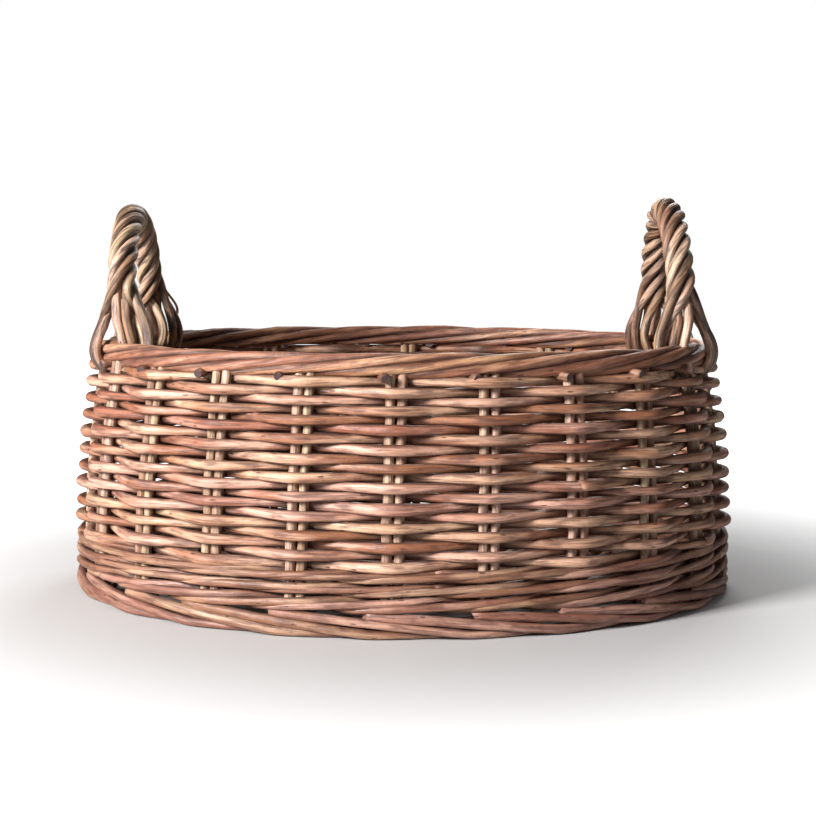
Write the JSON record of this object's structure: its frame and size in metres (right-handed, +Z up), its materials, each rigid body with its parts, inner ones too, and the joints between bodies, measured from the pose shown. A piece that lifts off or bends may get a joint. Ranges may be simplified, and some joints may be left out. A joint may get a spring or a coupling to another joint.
{
  "type": "wicker log basket",
  "caption": "Oval log basket woven in peeled willow, with slightly tapering sides, a rope-like rim, a low foot border and roped hoop handles at both ends.",
  "frame": {"origin": "on the floor, under the middle of the oval", "axes": "+X along the basket's length, from the left handle to the right one; +Y from front to back; +Z up"},
  "size_m": [0.6066, 0.4899, 0.3575],
  "materials": {
    "stake_willow": "satin peeled willow, pale cream with an olive cast",
    "weaver_willow": "satin peeled willow, warm buff with brown rods among the pale ones",
    "band_willow": "satin peeled willow, pink cream",
    "rim_willow": "satin peeled willow, warm cream with brown shadows",
    "handle_willow": "satin peeled willow, olive brown",
    "base_willow": "matte peeled willow, brown"
  },
  "bodies": {
    "root": {"foot_border": "band_willow", "base_cross_stick_1": "base_willow", "base_cross_stick_2": "base_willow", "base_cross_stick_3": "base_willow", "base_cross_stick_4": "base_willow", "base_cross_stick_5": "base_willow", "base_cross_stick_6": "base_willow", "base_long_stick_1": "base_willow", "base_long_stick_2": "base_willow", "base_long_stick_3": "base_willow", "base_weave": "base_willow", "stake_pair_01": "stake_willow", "stake_pair_02": "stake_willow", "stake_pair_03": "stake_willow", "stake_pair_04": "stake_willow", "stake_pair_05": "stake_willow", "stake_pair_06": "stake_willow", "stake_pair_07": "stake_willow", "stake_pair_08": "stake_willow", "stake_pair_09": "stake_willow", "stake_pair_10": "stake_willow", "stake_pair_11": "stake_willow", "stake_pair_12": "stake_willow", "stake_pair_13": "stake_willow", "stake_pair_14": "stake_willow", "stake_pair_15": "stake_willow", "stake_pair_16": "stake_willow", "stake_pair_17": "stake_willow", "stake_pair_18": "stake_willow", "stake_pair_19": "stake_willow", "stake_pair_20": "stake_willow", "stake_pair_21": "stake_willow", "stake_pair_22": "stake_willow", "upsett_wale_lower": "band_willow", "upsett_wale_upper": "band_willow", "side_weaver_01": "weaver_willow", "side_weaver_02": "weaver_willow", "side_weaver_03": "weaver_willow", "side_weaver_04": "weaver_willow", "side_weaver_05": "weaver_willow", "side_weaver_06": "weaver_willow", "side_weaver_07": "weaver_willow", "side_weaver_08": "weaver_willow", "side_weaver_09": "weaver_willow", "side_weaver_10": "weaver_willow", "side_weaver_11": "weaver_willow", "side_weaver_12": "weaver_willow", "side_weaver_13": "weaver_willow", "side_weaver_14": "weaver_willow", "side_weaver_15": "weaver_willow", "side_weaver_16": "weaver_willow", "side_weaver_17": "weaver_willow", "side_weaver_18": "weaver_willow", "side_weaver_19": "weaver_willow", "side_weaver_20": "weaver_willow", "rim_border": "rim_willow", "left_handle_bow": "handle_willow", "left_handle_roping": "handle_willow", "right_handle_bow": "handle_willow", "right_handle_roping": "handle_willow"}
  },
  "joints": []
}
